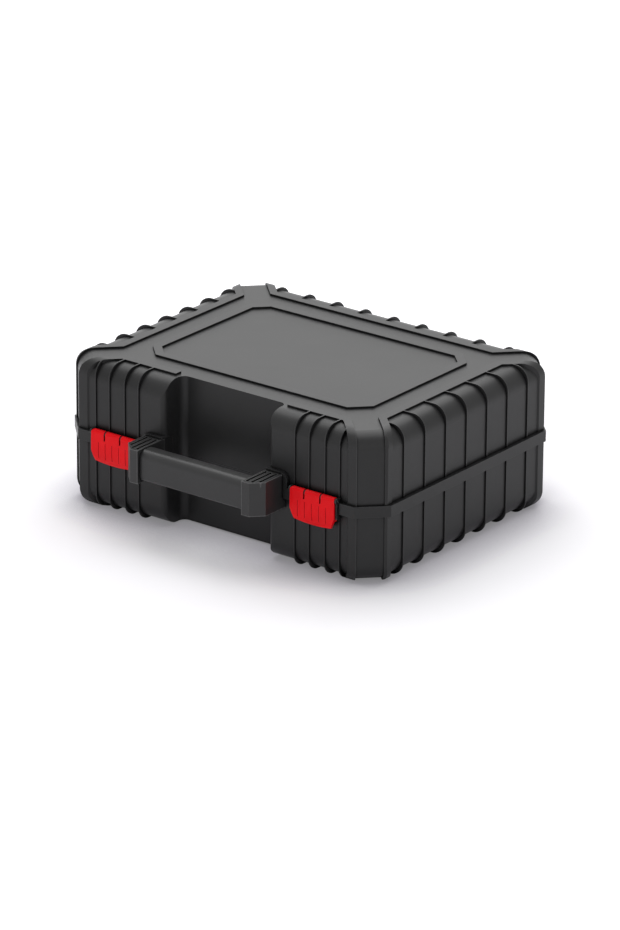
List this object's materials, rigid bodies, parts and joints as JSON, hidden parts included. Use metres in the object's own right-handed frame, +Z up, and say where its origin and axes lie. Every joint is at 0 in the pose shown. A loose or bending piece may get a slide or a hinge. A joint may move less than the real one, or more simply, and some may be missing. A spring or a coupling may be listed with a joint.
{
  "type": "hard tool case",
  "caption": "Hard plastic tool case with ribbed walls, a hinged lid, front latches and a carrying handle in front of a finger recess.",
  "frame": {"origin": "on the floor, below the middle of the whole case", "axes": "+X to the right along the front, +Z up; the front with the handle and latches faces -Y"},
  "size_m": [0.462, 0.4169, 0.1825],
  "materials": {
    "black_plastic": "fine matte grain",
    "red_plastic": "smooth satin",
    "steel": "bright drawn"
  },
  "bodies": {
    "base": {"lower_shell": "black_plastic", "handle_end_left": "black_plastic", "handle_end_right": "black_plastic", "handle_grip": "black_plastic", "handle_screws_left": "steel", "handle_screws_right": "steel", "grip_screws": "steel", "hinge_pin_left": "steel", "hinge_pin_right": "steel"},
    "lid": {"lid_shell": "black_plastic", "latch_pin_left": "steel", "latch_pin_right": "steel"},
    "left_latch": {"latch_left": "red_plastic"},
    "right_latch": {"latch_right": "red_plastic"}
  },
  "joints": [
    {"name": "lid_hinge", "type": "hinge", "parent": "base", "child": "lid", "pos_m": [0, 0.20395, 0.08315], "axis": [-1, 0, 0], "range_deg": [0, 110]},
    {"name": "left_latch_hinge", "type": "hinge", "parent": "lid", "child": "left_latch", "pos_m": [-0.1455, -0.16475, 0.099], "axis": [-1, 0, 0], "range_deg": [0, 110]},
    {"name": "right_latch_hinge", "type": "hinge", "parent": "lid", "child": "right_latch", "pos_m": [0.1455, -0.16475, 0.099], "axis": [-1, 0, 0], "range_deg": [0, 110]}
  ]
}
